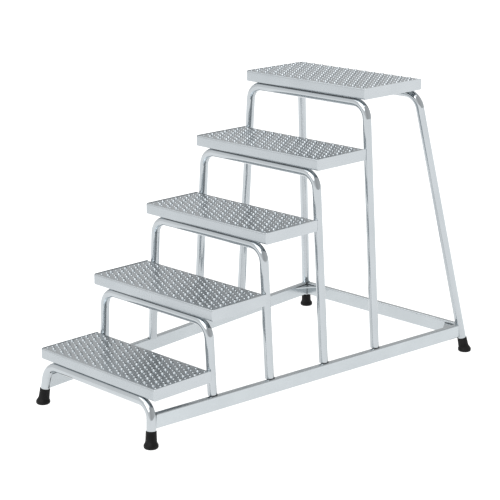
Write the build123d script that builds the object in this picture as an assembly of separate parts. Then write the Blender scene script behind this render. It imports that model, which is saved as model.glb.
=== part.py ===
from build123d import *
import math
import os

os.makedirs("parts", exist_ok=True)

# Five-level welded step stand. Millimetres, +Z up, +Y towards the high rear end, +X to the
# climber's right. The origin is on the floor, midway between the four feet.

# Stairway
LEVELS = 5
PLATFORM_TOP = 1000.0
RISE = 202.6
RUN = 238.0
PLATFORM_DEPTH = 297.0
STEP_WIDTH = 576.0
END_LEVEL_WIDTH = 556.0  # the first step and the platform are a little narrower
TREAD_HEIGHT = 39.0
SHEET = 2.5
END_PLATE = 3.0
RETURN_LIP = 14.0
FOLD_RADIUS = 6.0
GRIP_INSET = 1.5  # the pan's top lies this far below the end plates' rims

# Footprint
FOOT_LENGTH = 1406.0  # front foot to rear foot, centre to centre
FRONT_FOOT_HALF = 269.0
REAR_FOOT_HALF = 392.5
TREAD_OVERHANG = 7.5  # from the front feet's centres back to the first step's front edge

# Bent tube hoops
TUBE_RADIUS = 15.0
TUBE_WALL = 2.0
BEND_RADIUS = 54.0
HOOP_SETBACK = 17.5  # hoop centreline behind its tread's front edge
FIRST_HOOP_SETBACK = 8.5  # the first hoop leans forward to its feet
REAR_HOOP_SETBACK = 15.5  # rear hoop centreline ahead of the platform's back edge
HOOP_SHOULDERS = {1: 255.5, 2: 251.5, 3: 258.5, 4: 265.5, 5: 271.0}
REAR_SHOULDER = 274.5
LEG_INSET = 22.0  # leg centre inside the rail's outer face, at the rail's top

STEP_DEPTH = RUN + HOOP_SETBACK - TUBE_RADIUS  # each step's back edge touches the next hoop

# Base frame of rectangular tube
RAIL_WIDTH = 20.0
RAIL_HEIGHT = 48.0
RAIL_TOP = 103.0
RAIL_WALL = 2.0
RAIL_CORNER = 4.0
RAIL_SPREAD = 0.0884  # sideways millimetres for each millimetre towards the rear
RAIL_FRONT_HALF = 265.7  # outer face at the first step's front edge

# Corner gussets
GUSSET_ALONG_RAIL = 68.0
GUSSET_ALONG_BAR = 50.0
GUSSET_THICKNESS = 4.0
GUSSET_DROP = 7.0  # top face below the rail's top

# Rubber feet: (height, radius) up the outside, from the sole to the top of the sleeve
FOOT_PROFILE = [(0.0, 20.5), (3.0, 23.5), (11.0, 23.5), (20.0, 18.6), (53.0, 17.0)]
FOOT_UPRIGHT = 11.0  # below this the foot stands upright; above, it follows its leg
FOOT_TILTED = 20.0
FOOT_SOLE = 9.0
WASHER_THICKNESS = 2.0
WASHER_RADIUS = 14.5

FRONT_Y = -FOOT_LENGTH / 2
REAR_Y = FOOT_LENGTH / 2
FIRST_EDGE_Y = FRONT_Y + TREAD_OVERHANG
SPREAD_ANGLE = math.degrees(math.atan(RAIL_SPREAD))


def save(node, solid):
    export_step(solid, f"parts/{node}.step")


def tread_top(level):
    return PLATFORM_TOP - (LEVELS - level) * RISE


def tread_front(level):
    return FIRST_EDGE_Y + (level - 1) * RUN


def tread_depth(level):
    return PLATFORM_DEPTH if level == LEVELS else STEP_DEPTH


def tread_width(level):
    return END_LEVEL_WIDTH if level in (1, LEVELS) else STEP_WIDTH


def rail_outer_x(y):
    return RAIL_FRONT_HALF + RAIL_SPREAD * (y - FIRST_EDGE_Y)


def rail_inner_x(y):
    return rail_outer_x(y) - RAIL_WIDTH / math.cos(math.radians(SPREAD_ANGLE))


def bar_height(level):
    return tread_top(level) - TREAD_HEIGHT - TUBE_RADIUS


def tube_along(points, radius):
    path = FilletPolyline(*points, radius=BEND_RADIUS)
    start = Plane(origin=path @ 0, z_dir=path % 0)
    return sweep(start * Circle(radius), path=path)


def hoop_bar(foot, shoulder, radius):
    """An inverted U of round bar: foot and shoulder are its right-hand points."""
    left_foot = (-foot[0], foot[1], foot[2])
    left_shoulder = (-shoulder[0], shoulder[1], shoulder[2])
    return tube_along([left_foot, left_shoulder, shoulder, foot], radius)


def hoop_tube(foot, shoulder):
    outer = hoop_bar(foot, shoulder, TUBE_RADIUS)
    return outer - hoop_bar(foot, shoulder, TUBE_RADIUS - TUBE_WALL)


def tread_pan(level):
    """Sheet folded down at the front and back, with a lip turned in under each fold."""
    depth = tread_depth(level)
    height = TREAD_HEIGHT - GRIP_INSET
    inner_width = tread_width(level) - 2 * END_PLATE
    outer = Plane.YZ * Pos(depth / 2, height / 2) * RectangleRounded(depth, height, FOLD_RADIUS)
    bore_depth = depth - 2 * SHEET
    bore_height = height - 2 * SHEET
    bore_fold = FOLD_RADIUS - SHEET
    inner = Plane.YZ * Pos(depth / 2, height / 2) * RectangleRounded(bore_depth, bore_height, bore_fold)
    mouth = depth - 2 * RETURN_LIP
    slot = Plane.YZ * Pos(depth / 2, SHEET / 2) * Rectangle(mouth, 2 * SHEET)
    section = outer - inner - slot
    pan = extrude(section, inner_width / 2, both=True)
    return Pos(0, tread_front(level), tread_top(level) - TREAD_HEIGHT) * pan


def tread_end(level, side):
    """Plate that closes one end of the pan and stands a little above its top."""
    depth = tread_depth(level)
    profile = Plane.YZ * Pos(depth / 2, TREAD_HEIGHT / 2) * RectangleRounded(depth, TREAD_HEIGHT, FOLD_RADIUS)
    plate = extrude(profile, END_PLATE)
    x = tread_width(level) / 2 - END_PLATE
    if side < 0:
        x = -tread_width(level) / 2
    return Pos(x, tread_front(level), tread_top(level) - TREAD_HEIGHT) * plate


def box_tube(length):
    """Rectangular tube along +Y from y = 0, with its outer face at x = 0 and its top at z = 0."""
    centre = Plane.XZ * Pos(-RAIL_WIDTH / 2, -RAIL_HEIGHT / 2)
    bore_width = RAIL_WIDTH - 2 * RAIL_WALL
    bore_height = RAIL_HEIGHT - 2 * RAIL_WALL
    outer = centre * RectangleRounded(RAIL_WIDTH, RAIL_HEIGHT, RAIL_CORNER)
    inner = centre * RectangleRounded(bore_width, bore_height, RAIL_CORNER - RAIL_WALL)
    return extrude(outer - inner, -length)


def largest(shape):
    """The main solid of a cut, without the offcuts beyond the legs."""
    return max(shape.solids(), key=lambda piece: piece.volume)


def extended(foot, shoulder, extra):
    """The foot point moved further down its leg's own line."""
    direction = (Vector(*foot) - Vector(*shoulder)).normalized()
    return tuple(Vector(*foot) + direction * extra)


def leg_point(line, z):
    """The point at height z on a right-hand leg's centreline."""
    foot, shoulder = Vector(*line[0]), Vector(*line[1])
    return foot + (shoulder - foot) * ((z - foot.Z) / (shoulder.Z - foot.Z))


def rubber_foot(line):
    """Flared rubber ferrule, flat on the floor, with its sleeve and socket along the leg."""
    foot = Vector(*line[0])
    direction = (Vector(*line[1]) - foot).normalized()
    rings = []
    for height, radius in FOOT_PROFILE:
        tilt = min(max((height - FOOT_UPRIGHT) / (FOOT_TILTED - FOOT_UPRIGHT), 0), 1)
        upright = foot + Vector(0, 0, height)
        centre = upright * (1 - tilt) + (foot + direction * height) * tilt
        normal = Vector(0, 0, 1) * (1 - tilt) + direction * tilt
        rings.append(Plane(origin=centre, z_dir=normal) * Circle(radius))
    socket_start = Plane(origin=foot + direction * FOOT_SOLE, z_dir=direction)
    socket = extrude(socket_start * Circle(TUBE_RADIUS), FOOT_PROFILE[-1][0])
    return loft(rings, ruled=True) - socket


def foot_washer(line):
    """Steel disc in the bottom of the socket, under the tube's cut end."""
    foot, shoulder = line
    direction = (Vector(*shoulder) - Vector(*foot)).normalized()
    seat = Plane(origin=Vector(*foot) + direction * FOOT_SOLE, z_dir=direction)
    return extrude(seat * Circle(WASHER_RADIUS), WASHER_THICKNESS)


# Right-hand foot and shoulder points of every hoop
back_edge = tread_front(LEVELS) + PLATFORM_DEPTH
leg_lines = {
    "hoop_1": (
        (FRONT_FOOT_HALF, FRONT_Y, 0.0),
        (HOOP_SHOULDERS[1], tread_front(1) + FIRST_HOOP_SETBACK, bar_height(1)),
    ),
    "rear_hoop": (
        (REAR_FOOT_HALF, REAR_Y, 0.0),
        (REAR_SHOULDER, back_edge - REAR_HOOP_SETBACK, bar_height(LEVELS)),
    ),
}
for level in range(2, LEVELS + 1):
    hoop_y = tread_front(level) + HOOP_SETBACK
    landing = (rail_outer_x(hoop_y) - LEG_INSET, hoop_y, RAIL_TOP)
    leg_lines[f"hoop_{level}"] = (landing, (HOOP_SHOULDERS[level], hoop_y, bar_height(level)))

below_rail_top = Pos(0, 0, RAIL_TOP / 2) * Box(2 * FOOT_LENGTH, 2 * FOOT_LENGTH, RAIL_TOP)

# Hoops: the middle ones are cut level on the rails, the end ones run down into the rubber feet
floor_legs = ("hoop_1", "rear_hoop")
for name, (foot, shoulder) in leg_lines.items():
    if name in floor_legs:
        save(name, hoop_tube(extended(foot, shoulder, -FOOT_SOLE - WASHER_THICKNESS), shoulder))
    else:
        save(name, hoop_tube(extended(foot, shoulder, TUBE_RADIUS), shoulder) - below_rail_top)

# Treads: a folded pan and two end plates on each level
for level in range(1, LEVELS + 1):
    stem = "platform" if level == LEVELS else f"step_{level}"
    save(f"{stem}_pan", tread_pan(level))
    save(f"{stem}_left_end", tread_end(level, -1))
    save(f"{stem}_right_end", tread_end(level, 1))

# Crossbar between the rear legs, coped to the round tube at both ends
front_line = leg_lines["hoop_1"]
rear_line = leg_lines["rear_hoop"]
front_legs = hoop_bar(*front_line, TUBE_RADIUS)
rear_legs = hoop_bar(*rear_line, TUBE_RADIUS)
mid_height = RAIL_TOP - RAIL_HEIGHT / 2
front_joint = leg_point(front_line, mid_height)
rear_joint = leg_point(rear_line, mid_height)
bar_blank = Rotation(0, 0, 90) * box_tube(2 * rear_joint.X)
bar_blank = Pos(rear_joint.X, rear_joint.Y + RAIL_WIDTH / 2, RAIL_TOP) * bar_blank
save("rear_crossbar", largest(bar_blank - rear_legs))

# Base rails, butted between the front legs, the rear legs and the crossbar
bar_face_y = rear_joint.Y - RAIL_WIDTH / 2
rail_start = front_joint.Y
rail_length = (rear_joint.Y - rail_start) / math.cos(math.radians(SPREAD_ANGLE))
rail_blank = Rotation(0, 0, -SPREAD_ANGLE) * box_tube(rail_length)
rail_blank = Pos(rail_outer_x(rail_start), rail_start, RAIL_TOP) * rail_blank
bar_envelope = Pos(0, rear_joint.Y, mid_height) * Box(2 * rear_joint.X, RAIL_WIDTH, RAIL_HEIGHT)
right_rail = largest(rail_blank - front_legs - rear_legs - bar_envelope)
save("right_rail", right_rail)
save("left_rail", mirror(right_rail, about=Plane.YZ))

# Gussets: a triangular plate in each rear corner of the base frame
gusset_z = RAIL_TOP - GUSSET_DROP - GUSSET_THICKNESS
corner = (rail_inner_x(bar_face_y), bar_face_y)
on_rail = (rail_inner_x(bar_face_y - GUSSET_ALONG_RAIL), bar_face_y - GUSSET_ALONG_RAIL)
on_bar = (corner[0] - GUSSET_ALONG_BAR, bar_face_y)
outline = make_face(Polyline(corner, on_rail, on_bar, close=True))
plate = extrude(Pos(0, 0, gusset_z) * outline, GUSSET_THICKNESS) - rear_legs
right_gusset = largest(plate)
save("right_gusset", right_gusset)
save("left_gusset", mirror(right_gusset, about=Plane.YZ))

# Feet and the washers inside them
feet = {"front": rubber_foot(front_line), "rear": rubber_foot(rear_line)}
for end, right_foot in feet.items():
    save(f"{end}_right_foot", right_foot)
    save(f"{end}_left_foot", mirror(right_foot, about=Plane.YZ))

right_washers = [foot_washer(front_line), foot_washer(rear_line)]
left_washers = [mirror(washer, about=Plane.YZ) for washer in right_washers]
save("foot_washers", Compound(children=right_washers + left_washers))
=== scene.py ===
"""Visual model of a welded five-level step stand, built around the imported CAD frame."""

import math

import bmesh
import bpy
from mathutils import Matrix, Vector
from mathutils.geometry import delaunay_2d_cdt


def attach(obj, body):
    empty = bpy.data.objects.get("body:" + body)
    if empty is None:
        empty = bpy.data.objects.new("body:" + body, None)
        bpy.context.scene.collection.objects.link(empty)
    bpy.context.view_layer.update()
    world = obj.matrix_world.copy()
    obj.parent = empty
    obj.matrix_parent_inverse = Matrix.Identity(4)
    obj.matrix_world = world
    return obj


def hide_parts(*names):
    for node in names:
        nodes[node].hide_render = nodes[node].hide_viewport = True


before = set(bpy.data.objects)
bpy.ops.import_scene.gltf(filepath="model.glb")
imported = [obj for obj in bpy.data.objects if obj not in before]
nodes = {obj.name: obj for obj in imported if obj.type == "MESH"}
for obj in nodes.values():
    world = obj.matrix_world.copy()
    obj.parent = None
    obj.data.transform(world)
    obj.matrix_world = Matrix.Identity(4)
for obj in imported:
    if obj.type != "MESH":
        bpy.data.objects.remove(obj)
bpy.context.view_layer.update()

MM = 0.001

# Stairway, as in the CAD model (millimetres, row frame)
LEVELS = 5
PLATFORM_TOP = 1000.0
RISE = 202.6
RUN = 238.0
FIRST_EDGE_Y = -695.5
PLATFORM_DEPTH = 297.0
STEP_DEPTH = 240.5
STEP_WIDTH = 576.0
END_LEVEL_WIDTH = 556.0
TREAD_HEIGHT = 39.0
END_PLATE = 3.0
GRIP_INSET = 1.5
FOLD_RADIUS = 6.0
RETURN_LIP = 14.0
TUBE_RADIUS = 15.0
BEND_RADIUS = 54.0
HOOP_SETBACK = 17.5
HOOP_SHOULDERS = {1: 255.5, 2: 251.5, 3: 258.5, 4: 265.5, 5: 271.0}
LEG_INSET = 22.0
RAIL_WIDTH = 20.0
RAIL_TOP = 103.0
RAIL_HEIGHT = 48.0
RAIL_SPREAD = 0.0884
RAIL_FRONT_HALF = 265.7
GUSSET_ALONG_RAIL = 68.0
GUSSET_ALONG_BAR = 50.0
GUSSET_TOP = 96.0

# End legs, right-hand side: foot on the floor, and shoulder
FRONT_LEG = ((269.0, -703.0, 0.0), (255.5, -687.0, 135.6))
REAR_LEG = ((392.5, 703.0, 0.0), (274.5, 538.0, 946.0))

# Pressed anti-slip sheet
SHEET = 2.5
CROWN_THINNING = 0.45
COLUMN_PITCH = 20.5
STUD_PITCH = 20.67
ROW_GAP = STUD_PITCH / 2
ROWS_PER_CROWN = 3
CROWN_MARGIN = 24.0
STUD_MARGIN = 9.0
SIDE_MARGIN = 8.0
OPENING_SHARE = 0.96
WELD_GAP = 0.01

# Each pressing from its foot up: radius, and height over the sheet
CROWN_SIDES = 16
CROWN_RINGS = (
    (7.6, 0.0),
    (6.8, 0.0),
    (6.2, 0.2),
    (5.7, 1.0),
    (5.3, 2.2),
    (4.9, 3.4),
    (4.5, 4.2),
    (4.0, 4.6),
    (3.4, 4.6),
)
STUD_SIDES = 12
STUD_RINGS = (
    (4.6, 0.0),
    (4.0, 0.0),
    (3.5, 0.2),
    (3.1, 0.8),
    (2.8, 1.5),
    (2.4, 2.1),
    (1.9, 2.4),
    (1.3, 2.4),
)

# Folds and eased edges
SHARP_ANGLE = 50.0
CORNER_STEPS = 6
EDGE_EASE = 0.5
EDGE_EASE_STEPS = 4
FACE_RIM = 1.5

# Weld beads
BEAD_SIDES = 10
BEAD_STEP = 2.2
BEAD_RIPPLE = 0.07
BEAD_END = 0.4
BAR_BEAD = 2.8
BAR_SEAM_SETBACK = 9.6
BAR_SEAM_DROP = 1.6
BAR_SEAM_SHORT_OF_BEND = 0.9
LEG_BEAD = 2.0
LEG_SEAM_REACH = TUBE_RADIUS + 0.6
LEG_SEAM_SPREAD = 80
LEG_SEAM_LIFT = 0.4
TREAD_SEAM_OFFSET = 6.5
TREAD_SEAM_SINK = 1.0
FRAME_BEAD = 1.8
COPE_LIMIT = TUBE_RADIUS - 0.1

# Camera, from the photograph's viewing angle
CAMERA_AT = (3.63488, -3.63157, 1.86620)
CAMERA_AZIMUTH = 2.35732
CAMERA_DROP = 0.27065
CAMERA_ROLL = -0.000731
CAMERA_LENS = 112.20
CAMERA_SENSOR = 36.0


def tread_top(level):
    return PLATFORM_TOP - (LEVELS - level) * RISE


def tread_front(level):
    return FIRST_EDGE_Y + (level - 1) * RUN


def tread_depth(level):
    return PLATFORM_DEPTH if level == LEVELS else STEP_DEPTH


def tread_width(level):
    return END_LEVEL_WIDTH if level in (1, LEVELS) else STEP_WIDTH


def tread_stem(level):
    return "platform" if level == LEVELS else f"step_{level}"


# Materials


def new_material(name):
    material = bpy.data.materials.new(name)
    material.use_nodes = True
    tree = material.node_tree
    shader = tree.nodes["Principled BSDF"]
    return material, tree, shader


def add_noise(tree, scale, detail, stretch=None):
    """Noise in object coordinates; scale is in features per metre."""
    coords = tree.nodes.new("ShaderNodeTexCoord")
    noise = tree.nodes.new("ShaderNodeTexNoise")
    noise.inputs["Scale"].default_value = scale
    noise.inputs["Detail"].default_value = detail
    source = coords.outputs["Object"]
    if stretch:
        mapping = tree.nodes.new("ShaderNodeMapping")
        mapping.inputs["Scale"].default_value = stretch
        tree.links.new(source, mapping.inputs["Vector"])
        source = mapping.outputs["Vector"]
    tree.links.new(source, noise.inputs["Vector"])
    return noise.outputs["Fac"]


def add_ramp(tree, factor, low, high, start=0.3, end=0.7):
    """Colour ramp between two colours, or two grey levels."""
    ramp = tree.nodes.new("ShaderNodeValToRGB")
    stops = ramp.color_ramp.elements
    stops[0].position = start
    stops[1].position = end
    for stop, value in zip(stops, (low, high)):
        colour = value if isinstance(value, tuple) else (value, value, value)
        stop.color = (*colour, 1.0)
    tree.links.new(factor, ramp.inputs["Fac"])
    return ramp.outputs["Color"]


def add_bump(tree, shader, height, strength, distance):
    bump = tree.nodes.new("ShaderNodeBump")
    bump.inputs["Strength"].default_value = strength
    bump.inputs["Distance"].default_value = distance
    tree.links.new(height, bump.inputs["Height"])
    tree.links.new(bump.outputs["Normal"], shader.inputs["Normal"])


def plated_steel(name, dark, light, rough_low, rough_high, bump=0.01, stretch=None):
    """Bright zinc plate: faint clouds in colour and gloss, and a fine grain."""
    material, tree, shader = new_material(name)
    shader.inputs["Metallic"].default_value = 1.0
    clouds = add_noise(tree, 9.0, 4.0)
    tree.links.new(add_ramp(tree, clouds, dark, light), shader.inputs["Base Color"])
    grain = add_noise(tree, 700.0, 3.0, stretch)
    tree.links.new(add_ramp(tree, grain, rough_low, rough_high), shader.inputs["Roughness"])
    add_bump(tree, shader, grain, bump, 0.0003)
    return material


def rubber(name):
    material, tree, shader = new_material(name)
    clouds = add_noise(tree, 60.0, 4.0)
    colour = add_ramp(tree, clouds, (0.004, 0.004, 0.004), (0.009, 0.009, 0.009))
    tree.links.new(colour, shader.inputs["Base Color"])
    shader.inputs["Specular IOR Level"].default_value = 0.12
    grain = add_noise(tree, 900.0, 2.0)
    tree.links.new(add_ramp(tree, grain, 0.45, 0.65), shader.inputs["Roughness"])
    add_bump(tree, shader, grain, 0.15, 0.0004)
    return material


TUBE = plated_steel("tube_steel", (0.43, 0.46, 0.48), (0.46, 0.49, 0.51), 0.08, 0.12)
RAIL = plated_steel("rail_steel", (0.465, 0.50, 0.52), (0.495, 0.53, 0.55), 0.18, 0.26)
PLATE = plated_steel("end_plate_steel", (0.45, 0.48, 0.50), (0.475, 0.505, 0.525), 0.18, 0.26)
SHEET_STEEL = plated_steel("tread_steel", (0.40, 0.43, 0.45), (0.425, 0.455, 0.475), 0.23, 0.31, 0.01)
# Weld beads are real seams, but their near-black colour is painted contact shade in the joints.
WELD_WITH_PAINTED_SHADE = plated_steel("weld_steel_painted_shade", (0.05, 0.055, 0.06), (0.10, 0.105, 0.11), 0.35, 0.55, 0.2)
# Near-black for the pressings' insides and pierced rims: partly the real cut edge, partly painted
# shade inside the holes.
CUT_STEEL_PAINTED_SHADE = plated_steel("cut_steel_painted_shade", (0.025, 0.027, 0.03), (0.05, 0.053, 0.056), 0.4, 0.6, 0.1)
WASHER = plated_steel("washer_steel", (0.45, 0.46, 0.47), (0.52, 0.53, 0.54), 0.3, 0.4)
RUBBER = rubber("rubber")


# Mesh helpers


def add_piece(name, mesh_builder, material, replaced=()):
    """A finished bmesh as a piece of the object, in metres."""
    mesh = bpy.data.meshes.new(name)
    mesh_builder.to_mesh(mesh)
    mesh_builder.free()
    mesh.materials.append(material)
    mesh.shade_smooth()
    piece = bpy.data.objects.new(name, mesh)
    bpy.context.scene.collection.objects.link(piece)
    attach(piece, "root")
    if replaced:
        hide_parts(*replaced)
    return piece


def harden(piece):
    """Apply the piece's modifiers, then keep only its sharp edges sharp."""
    evaluated = piece.evaluated_get(bpy.context.evaluated_depsgraph_get())
    mesh = bpy.data.meshes.new_from_object(evaluated)
    piece.modifiers.clear()
    piece.data = mesh
    mesh.shade_smooth()
    mesh.set_sharp_from_angle(angle=math.radians(SHARP_ANGLE))


def ring_points(centre, radius, sides):
    turns = [2 * math.pi * k / sides for k in range(sides)]
    return [(centre[0] + radius * math.cos(t), centre[1] + radius * math.sin(t)) for t in turns]


# Treads: pressed sheet with pierced crowns and small studs


def grip_sites(width, depth):
    """Places of crowns and studs: each crown is ringed by six studs."""
    crowns, studs = [], []
    crown_gap = ROWS_PER_CROWN * ROW_GAP
    crown_rows = int((depth - 2 * CROWN_MARGIN) // crown_gap)
    first_crown_row = (depth - crown_gap * crown_rows) / 2
    spare_rows = int(first_crown_row // ROW_GAP)
    columns = int((width / 2 - SIDE_MARGIN) // COLUMN_PITCH)
    for column in range(-columns, columns + 1):
        for row in range(-spare_rows, ROWS_PER_CROWN * crown_rows + spare_rows + 1):
            if (column + row) % 2:
                continue
            y = first_crown_row + row * ROW_GAP
            is_crown = row % ROWS_PER_CROWN == 0
            margin = CROWN_MARGIN if is_crown else STUD_MARGIN
            if margin < y < depth - margin:
                (crowns if is_crown else studs).append((column * COLUMN_PITCH, y))
    return crowns, studs


def pressing_sites(half, depth):
    """Centre, rings and number of sides of every pressing in a sheet."""
    crowns, studs = grip_sites(2 * half, depth)
    sites = [(Vector(place), CROWN_RINGS, CROWN_SIDES) for place in crowns]
    return sites + [(Vector(place), STUD_RINGS, STUD_SIDES) for place in studs]


def in_a_pressing(point, sites_by_column):
    column = round(point.x / COLUMN_PITCH)
    for near in (column - 1, column, column + 1):
        for centre, rings, sides in sites_by_column.get(near, ()):
            if (point - centre).length < rings[0][0] * OPENING_SHARE:
                return True
    return False


def flat_sheet(bm, half, depth, sites):
    """Flat top with a round opening for each pressing; returns the openings' vertices."""
    near, far = FOLD_RADIUS, depth - FOLD_RADIUS
    points = [(-half, near), (half, near), (half, far), (-half, far)]
    edges = [(0, 1), (1, 2), (2, 3), (3, 0)]
    starts = []
    for centre, rings, sides in sites:
        start = len(points)
        starts.append(start)
        points += ring_points(centre, rings[0][0], sides)
        edges += [(start + k, start + (k + 1) % sides) for k in range(sides)]
    flat = delaunay_2d_cdt([Vector(p) for p in points], edges, [], 1, 1e-5)
    places, faces, origins = flat[0], flat[2], flat[3]
    verts = [bm.verts.new((place.x, place.y, 0.0)) for place in places]
    sites_by_column = {}
    for site in sites:
        sites_by_column.setdefault(round(site[0].x / COLUMN_PITCH), []).append(site)
    for face in faces:
        middle = sum((places[k] for k in face), Vector((0, 0))) / len(face)
        if not in_a_pressing(middle, sites_by_column):
            bm.faces.new([verts[k] for k in face])
    vertex_of = {}
    for vertex, sources in zip(verts, origins):
        for source in sources:
            vertex_of[source] = vertex
    openings = []
    for start, (centre, rings, sides) in zip(starts, sites):
        openings.append([vertex_of[start + k] for k in range(sides)])
    return openings


def raise_pressing(bm, opening, centre, rings, sides):
    """Wall of one pressing, from its opening in the flat sheet up to its pierced top."""
    previous = opening
    for radius, height in rings[1:]:
        current = [bm.verts.new((x, y, height)) for x, y in ring_points(centre, radius, sides)]
        for k in range(sides):
            after = (k + 1) % sides
            wall = bm.faces.new((previous[k], previous[after], current[after], current[k]))
            wall.material_index = 1
        previous = current


def skirt_profile():
    """Setback and height over the top fold, down the skirt and round to the return lip."""
    bottom = -(TREAD_HEIGHT - GRIP_INSET)
    turns = [math.pi / 2 * k / CORNER_STEPS for k in range(CORNER_STEPS + 1)]
    profile = [(FOLD_RADIUS * (1 - math.sin(t)), -FOLD_RADIUS * (1 - math.cos(t))) for t in turns]
    for t in turns:
        profile.append((FOLD_RADIUS * (1 - math.cos(t)), bottom + FOLD_RADIUS * (1 - math.sin(t))))
    profile.append((RETURN_LIP, bottom))
    return profile


def add_skirt(bm, half, depth, side):
    """Fold, skirt and return lip: side 1 is the front of the tread, -1 the back."""
    edge = 0.0 if side > 0 else depth
    rows = []
    for setback, z in skirt_profile():
        y = edge + side * setback
        rows.append((bm.verts.new((-half, y, z)), bm.verts.new((half, y, z))))
    for (a, b), (c, d) in zip(rows, rows[1:]):
        bm.faces.new((b, a, c, d) if side > 0 else (a, b, d, c))


def thicken(pan, flat_top):
    """Full thickness under the flat sheet and folds, and thinner metal in the pressings."""
    full = pan.vertex_groups.new(name="full_thickness")
    full.add([v.index for v in pan.data.vertices if v.co.z < flat_top], 1.0, "REPLACE")
    thickness = pan.modifiers.new("thickness", "SOLIDIFY")
    thickness.vertex_group = full.name
    thickness.thickness_vertex_group = CROWN_THINNING
    thickness.thickness = SHEET * MM
    thickness.offset = -1
    # The pressings' inner shell and rims get the near-black painted shade.
    thickness.material_offset = 2
    thickness.material_offset_rim = 2


def tread_pan(level):
    """Pressed sheet of one tread. The insides and rims of its pressings are near-black: bare cut
    steel at the rims, and painted shade inside the holes.
    """
    half = tread_width(level) / 2 - END_PLATE
    depth = tread_depth(level)
    bm = bmesh.new()
    sites = pressing_sites(half, depth)
    openings = flat_sheet(bm, half, depth, sites)
    for opening, site in zip(openings, sites):
        raise_pressing(bm, opening, *site)
    for side in (1, -1):
        add_skirt(bm, half, depth, side)
    bmesh.ops.remove_doubles(bm, verts=bm.verts, dist=WELD_GAP)
    lift = tread_top(level) - GRIP_INSET
    bmesh.ops.translate(bm, verts=bm.verts, vec=(0, tread_front(level), lift))
    bmesh.ops.scale(bm, verts=bm.verts, vec=(MM, MM, MM))
    stem = tread_stem(level)
    pan = add_piece(f"{stem}_sheet", bm, SHEET_STEEL, (f"{stem}_pan",))
    for material in (SHEET_STEEL, SHEET_STEEL, CUT_STEEL_PAINTED_SHADE):
        pan.data.materials.append(material)
    thicken(pan, (lift + WELD_GAP) * MM)
    harden(pan)


# End plates


def rounded_rectangle(depth, height, radius, inset):
    """Outline of a rounded rectangle from (0, 0) to (depth, height), drawn inset from its edge."""
    points = []
    reach = radius - inset
    corners = (
        (depth - radius, height - radius),
        (radius, height - radius),
        (radius, radius),
        (depth - radius, radius),
    )
    for quarter, (y, z) in enumerate(corners):
        for k in range(CORNER_STEPS + 1):
            turn = math.pi / 2 * (quarter + k / CORNER_STEPS)
            points.append((y + reach * math.cos(turn), z + reach * math.sin(turn)))
    return points


def end_plate_rings():
    """Distance out from the pan and inset of each ring: inner rim, edge, eased corner, face rim."""
    turns = [math.pi / 2 * k / EDGE_EASE_STEPS for k in range(EDGE_EASE_STEPS + 1)]
    square = END_PLATE - EDGE_EASE
    eased = [(square + EDGE_EASE * math.sin(t), EDGE_EASE * (1 - math.cos(t))) for t in turns]
    return [(0.0, FACE_RIM), (0.0, 0.0), *eased, (END_PLATE, FACE_RIM)]


def end_plate(level, side):
    """Plate over one end of the pan, with its edges eased."""
    depth, height = tread_depth(level), TREAD_HEIGHT
    bm = bmesh.new()
    rings = []
    for x, inset in end_plate_rings():
        outline = rounded_rectangle(depth, height, FOLD_RADIUS, inset)
        rings.append([bm.verts.new((side * x, y, z)) for y, z in outline])
    for before, ring in zip(rings, rings[1:]):
        for k in range(len(ring)):
            after = (k + 1) % len(ring)
            bm.faces.new((before[k], before[after], ring[after], ring[k]))
    bm.faces.new(rings[0])
    bm.faces.new(rings[-1])
    bmesh.ops.recalc_face_normals(bm, faces=bm.faces)
    x = side * (tread_width(level) / 2 - END_PLATE)
    shift = (x, tread_front(level), tread_top(level) - TREAD_HEIGHT)
    bmesh.ops.translate(bm, verts=bm.verts, vec=shift)
    bmesh.ops.scale(bm, verts=bm.verts, vec=(MM, MM, MM))
    word = "right" if side > 0 else "left"
    node = f"{tread_stem(level)}_{word}_end"
    plate = add_piece(f"{node}_plate", bm, PLATE, (node,))
    harden(plate)


# Rubber feet

FOOT_OUTLINE = (
    (15.2, 49.0), (15.3, 53.0), (16.0, 53.8), (16.8, 53.4), (17.1, 52.0), (17.3, 46.0), (17.7, 36.0),
    (18.1, 26.0), (18.6, 20.5), (19.6, 17.5), (21.6, 14.2), (23.0, 11.8), (23.5, 9.5), (23.5, 6.0),
    (23.1, 3.6), (22.0, 1.6), (20.4, 0.5), (18.8, 0.0), (15.0, 0.0), (14.2, 1.2), (11.8, 1.2),
    (11.0, 0.0), (0.4, 0.0),
)
FOOT_SIDES = 56
FOOT_UPRIGHT = 11.0
FOOT_TILTED = 20.0


def rubber_foot(name, foot, shoulder, replaced):
    foot, shoulder = Vector(foot), Vector(shoulder)
    direction = (shoulder - foot).normalized()
    up = Vector((0, 0, 1))
    bm = bmesh.new()
    previous = None
    for radius, height in FOOT_OUTLINE:
        tilt = min(max((height - FOOT_UPRIGHT) / (FOOT_TILTED - FOOT_UPRIGHT), 0), 1)
        centre = (foot + up * height).lerp(foot + direction * height, tilt)
        turn = up.rotation_difference(up.lerp(direction, tilt).normalized())
        ring = []
        for x, y in ring_points((0, 0), radius, FOOT_SIDES):
            ring.append(bm.verts.new((centre + turn @ Vector((x, y, 0))) * MM))
        if previous:
            for k in range(FOOT_SIDES):
                after = (k + 1) % FOOT_SIDES
                bm.faces.new((previous[after], previous[k], ring[k], ring[after]))
        previous = ring
    bm.faces.new(reversed(previous))
    bmesh.ops.recalc_face_normals(bm, faces=bm.faces)
    return add_piece(name, bm, RUBBER, (replaced,))


# Weld seams, coloured near-black as painted shade where the parts meet


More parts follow.
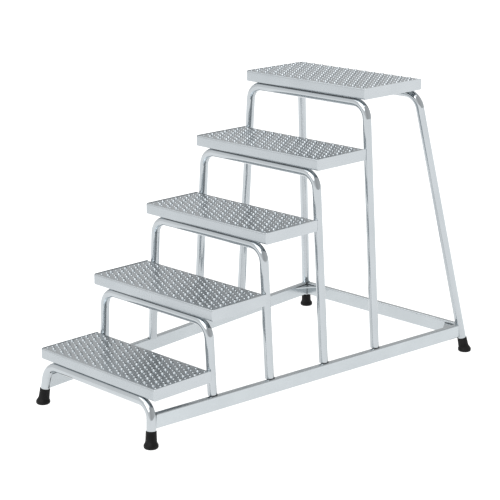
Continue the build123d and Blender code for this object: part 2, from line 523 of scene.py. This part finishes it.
def add_bead(bm, points, radius):
    """A rippled bead along a path of points in millimetres, closed at both ends."""
    points = [Vector(p) for p in points]
    path = []
    for a, b in zip(points, points[1:]):
        count = max(1, round((b - a).length / BEAD_STEP))
        path += [a.lerp(b, k / count) for k in range(count)]
    path.append(points[-1])
    rings = []
    for k, point in enumerate(path):
        along = (path[min(k + 1, len(path) - 1)] - path[max(k - 1, 0)]).normalized()
        turn = Vector((0, 0, 1)).rotation_difference(along)
        swell = 1 + BEAD_RIPPLE * (1 if k % 2 else -1)
        if k in (0, len(path) - 1):
            swell = BEAD_END
        ring = []
        for x, y in ring_points((0, 0), radius * swell, BEAD_SIDES):
            ring.append(bm.verts.new((point + turn @ Vector((x, y, 0))) * MM))
        rings.append(ring)
    for before, ring in zip(rings, rings[1:]):
        for k in range(BEAD_SIDES):
            after = (k + 1) % BEAD_SIDES
            bm.faces.new((before[k], before[after], ring[after], ring[k]))
    bm.faces.new(reversed(rings[0]))
    bm.faces.new(rings[-1])


def mirrored(points, side):
    return [(side * x, y, z) for x, y, z in points]


def rail_outer_x(y):
    return RAIL_FRONT_HALF + RAIL_SPREAD * (y - FIRST_EDGE_Y)


def leg_centre(line, z):
    foot, shoulder = Vector(line[0]), Vector(line[1])
    return foot.lerp(shoulder, z / shoulder.z)


def weld_piece(name, paths, radius):
    bm = bmesh.new()
    for path in paths:
        for side in (1, -1):
            add_bead(bm, mirrored(path, side), radius)
    bmesh.ops.recalc_face_normals(bm, faces=bm.faces)
    # The beads take the near-black weld colour, which is painted shade in the joints.
    add_piece(name, bm, WELD_WITH_PAINTED_SHADE)


def bar_welds():
    """Seams under each tread's front lip, along the top of its hoop."""
    paths = []
    for level in range(1, LEVELS + 1):
        end = HOOP_SHOULDERS[level] - BEND_RADIUS * BAR_SEAM_SHORT_OF_BEND
        y = tread_front(level) + BAR_SEAM_SETBACK
        z = tread_top(level) - TREAD_HEIGHT - BAR_SEAM_DROP
        paths.append([(0, y, z), (end, y, z)])
    weld_piece("bar_welds", paths, BAR_BEAD)


def leg_arc(centre, z, count=12):
    """Points round the outer side of a leg at height z."""
    turns = [math.radians(LEG_SEAM_SPREAD * (2 * k / count - 1)) for k in range(count + 1)]
    reach = LEG_SEAM_REACH
    return [(centre[0] + reach * math.cos(t), centre[1] + reach * math.sin(t), z) for t in turns]


def leg_welds():
    """Seams where the middle legs stand on the rails and touch the treads in front."""
    paths = []
    for level in range(2, LEVELS + 1):
        y = tread_front(level) + HOOP_SETBACK
        centre = (rail_outer_x(y) - LEG_INSET, y)
        paths.append(leg_arc(centre, RAIL_TOP + LEG_SEAM_LIFT))
        top = tread_top(level - 1)
        for offset in (-TREAD_SEAM_OFFSET, TREAD_SEAM_OFFSET):
            x = HOOP_SHOULDERS[level] + offset
            back = y - TUBE_RADIUS + TREAD_SEAM_SINK
            low = top - TREAD_HEIGHT + FOLD_RADIUS
            paths.append([(x, back, low), (x, back, top - FOLD_RADIUS)])
    weld_piece("leg_welds", paths, LEG_BEAD)


def coped_seam(line, low, high, faces, ahead):
    """Up one face of a box tube, over its top and down the other face, round a leg."""
    path = []
    for z, face in ((low, 0), (high, 0), (high, 0.5), (high, 1), (low, 1)):
        centre = leg_centre(line, z)
        target = faces[0] + (faces[1] - faces[0]) * face
        axis = 0 if ahead == "y" else 1
        across = min(max(target - centre[axis], -COPE_LIMIT), COPE_LIMIT)
        along = math.sqrt(TUBE_RADIUS**2 - across**2)
        if axis == 0:
            path.append((centre.x + across, centre.y + along, z))
        else:
            path.append((centre.x - along, centre.y + across, z))
    return path


def frame_welds():
    """Seams of the base frame: rails and crossbar on the end legs, and the gussets."""
    low, high = RAIL_TOP - RAIL_HEIGHT, RAIL_TOP
    front = leg_centre(FRONT_LEG, high)
    rear = leg_centre(REAR_LEG, high)
    outer = rail_outer_x(front.y)
    paths = [coped_seam(FRONT_LEG, low, high, (outer, outer - RAIL_WIDTH), "y")]
    faces = (rear.y + RAIL_WIDTH / 2, rear.y - RAIL_WIDTH / 2)
    paths.append(coped_seam(REAR_LEG, low, high, faces, "x"))
    outer_rear = rail_outer_x(rear.y)
    bar_front = leg_centre(REAR_LEG, RAIL_TOP - RAIL_HEIGHT / 2).y - RAIL_WIDTH / 2
    inner = rail_outer_x(bar_front) - RAIL_WIDTH
    paths.append([(inner, bar_front, low), (inner, bar_front, high), (outer_rear, bar_front, high)])
    z = GUSSET_TOP
    ahead = bar_front - GUSSET_ALONG_RAIL
    paths.append([(inner, bar_front, z), (rail_outer_x(ahead) - RAIL_WIDTH, ahead, z)])
    paths.append([(inner, bar_front, z), (inner - GUSSET_ALONG_BAR, bar_front, z)])
    weld_piece("frame_welds", paths, FRAME_BEAD)


# Build


def finish_for(name):
    if "hoop" in name:
        return TUBE
    if "washer" in name:
        return WASHER
    return RAIL


bar_welds()
leg_welds()
frame_welds()
for level in range(1, LEVELS + 1):
    tread_pan(level)
    end_plate(level, 1)
    end_plate(level, -1)

for end, (foot, shoulder) in (("front", FRONT_LEG), ("rear", REAR_LEG)):
    for side, sign in (("left", -1), ("right", 1)):
        start = (sign * foot[0], foot[1], foot[2])
        top = (sign * shoulder[0], shoulder[1], shoulder[2])
        rubber_foot(f"{end}_{side}_ferrule", start, top, f"{end}_{side}_foot")


for name, node in nodes.items():
    if name.endswith(("_pan", "_end", "_foot")):
        continue
    node.data.materials.clear()
    node.data.materials.append(finish_for(name))


# Studio

FLOOR_REACH = 60.0
FLOOR_GLOW = 4.0
SURROUND_STRENGTH = 1.2
PALE_SIDE = (-0.7071, -0.7071, 0.0)
SURROUND_GREYS = ((0.0, 0.64), (0.25, 0.56), (0.5, 0.53), (0.8, 0.85), (1.0, 0.95))


def studio_floor():
    bm = bmesh.new()
    bmesh.ops.create_circle(bm, cap_ends=True, radius=FLOOR_REACH, segments=64)
    mesh = bpy.data.meshes.new("floor")
    bm.to_mesh(mesh)
    bm.free()
    material, tree, shader = new_material("floor")
    clouds = add_noise(tree, 0.5, 2.0)
    colour = add_ramp(tree, clouds, (0.245, 0.245, 0.245), (0.255, 0.255, 0.255))
    tree.links.new(colour, shader.inputs["Base Color"])
    tree.links.new(colour, shader.inputs["Emission Color"])
    shader.inputs["Emission Strength"].default_value = FLOOR_GLOW
    shader.inputs["Roughness"].default_value = 1.0
    shader.inputs["Specular IOR Level"].default_value = 0.0
    mesh.materials.append(material)
    floor = bpy.data.objects.new("floor", mesh)
    bpy.context.scene.collection.objects.link(floor)


def studio_world():
    """Soft grey surround, palest on PALE_SIDE and dimmest a quarter turn from it."""
    world = bpy.data.worlds.new("studio")
    bpy.context.scene.world = world
    world.use_nodes = True
    tree = world.node_tree
    background = tree.nodes["Background"]
    coords = tree.nodes.new("ShaderNodeTexCoord")
    side = tree.nodes.new("ShaderNodeVectorMath")
    side.operation = "DOT_PRODUCT"
    side.inputs[1].default_value = PALE_SIDE
    tree.links.new(coords.outputs["Generated"], side.inputs[0])
    place = tree.nodes.new("ShaderNodeMapRange")
    place.inputs["From Min"].default_value = -1.0
    tree.links.new(side.outputs["Value"], place.inputs["Value"])
    ramp = tree.nodes.new("ShaderNodeValToRGB")
    stops = ramp.color_ramp.elements
    while len(stops) < len(SURROUND_GREYS):
        stops.new(0.5)
    for stop, (position, grey) in zip(stops, SURROUND_GREYS):
        stop.position = position
        stop.color = (grey, grey, grey, 1)
    tree.links.new(place.outputs["Result"], ramp.inputs["Fac"])
    tree.links.new(ramp.outputs["Color"], background.inputs["Color"])
    background.inputs["Strength"].default_value = SURROUND_STRENGTH


def soft_sun(name, direction, strength, spread):
    light = bpy.data.lights.new(name, "SUN")
    light.energy = strength
    light.angle = math.radians(spread)
    lamp = bpy.data.objects.new(name, light)
    lamp.rotation_euler = Vector(direction).to_track_quat("-Z", "Y").to_euler()
    bpy.context.scene.collection.objects.link(lamp)


def studio_camera():
    forward = Vector((
        math.cos(CAMERA_AZIMUTH) * math.cos(CAMERA_DROP),
        math.sin(CAMERA_AZIMUTH) * math.cos(CAMERA_DROP),
        -math.sin(CAMERA_DROP),
    ))
    level_right = forward.cross(Vector((0, 0, 1))).normalized()
    level_up = level_right.cross(forward)
    right = level_right * math.cos(CAMERA_ROLL) + level_up * math.sin(CAMERA_ROLL)
    up = level_up * math.cos(CAMERA_ROLL) - level_right * math.sin(CAMERA_ROLL)
    data = bpy.data.cameras.new("camera")
    data.lens = CAMERA_LENS
    data.sensor_width = CAMERA_SENSOR
    data.clip_end = 200
    camera = bpy.data.objects.new("camera", data)
    basis = Matrix((right, up, -forward)).transposed()
    camera.matrix_world = Matrix.Translation(CAMERA_AT) @ basis.to_4x4()
    bpy.context.scene.collection.objects.link(camera)
    bpy.context.scene.camera = camera


studio_floor()
studio_world()
soft_sun("overhead", (0.1, 0.15, -1.0), 1.7, 72)
soft_sun("key", (-0.1, 0.75, -0.65), 1.1, 40)
studio_camera()
bpy.context.scene.view_settings.view_transform = "Standard"
